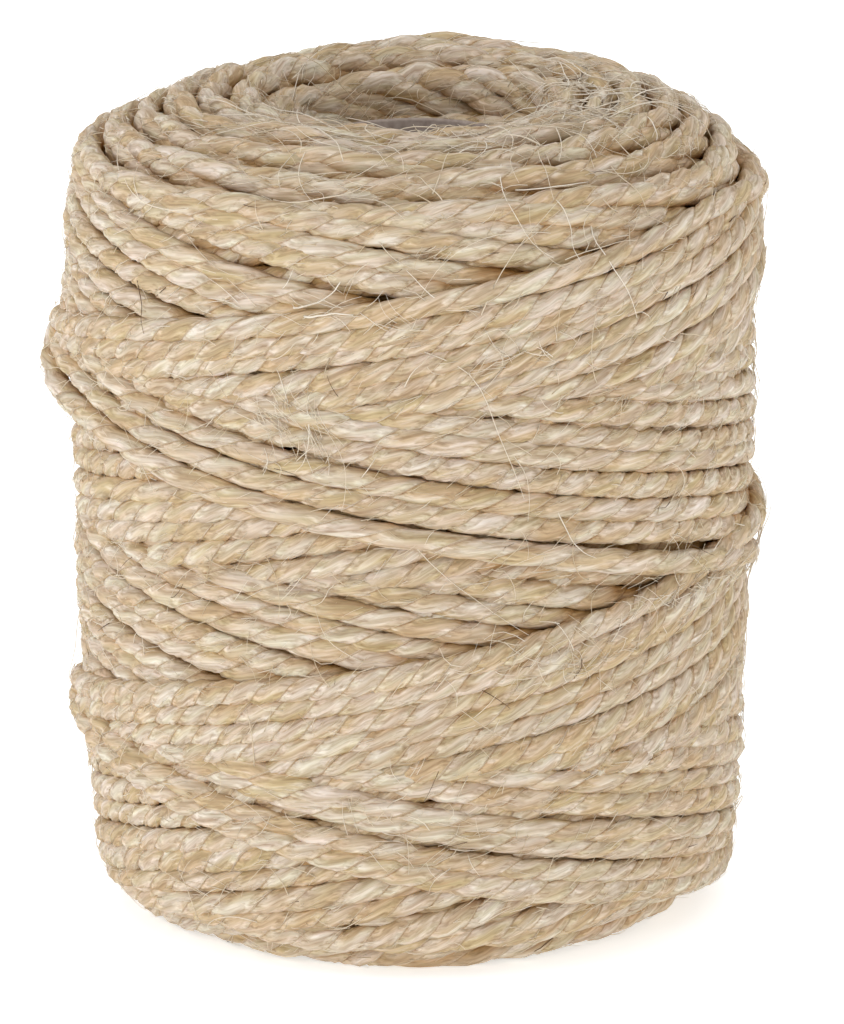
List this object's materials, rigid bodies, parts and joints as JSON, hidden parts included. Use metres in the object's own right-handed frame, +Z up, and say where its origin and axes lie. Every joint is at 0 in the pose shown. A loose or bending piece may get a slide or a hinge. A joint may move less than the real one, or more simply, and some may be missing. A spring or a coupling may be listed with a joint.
{
  "type": "roll of sisal twine",
  "caption": "Barrel-shaped roll of thick natural twine, cross wound on a card core tube, with domed ends, a flat base ring and an open bore.",
  "frame": {"origin": "middle of the flat base, under the centre of the roll's outer box", "axes": "+Z up along the roll's core, -Y towards the front"},
  "size_m": [0.1098, 0.1104, 0.1283],
  "materials": {
    "twine": "matte laid sisal fibre",
    "card": "matte wound grey card"
  },
  "bodies": {
    "root": {"twine_winding": "twine", "core_tube": "card"}
  },
  "joints": []
}
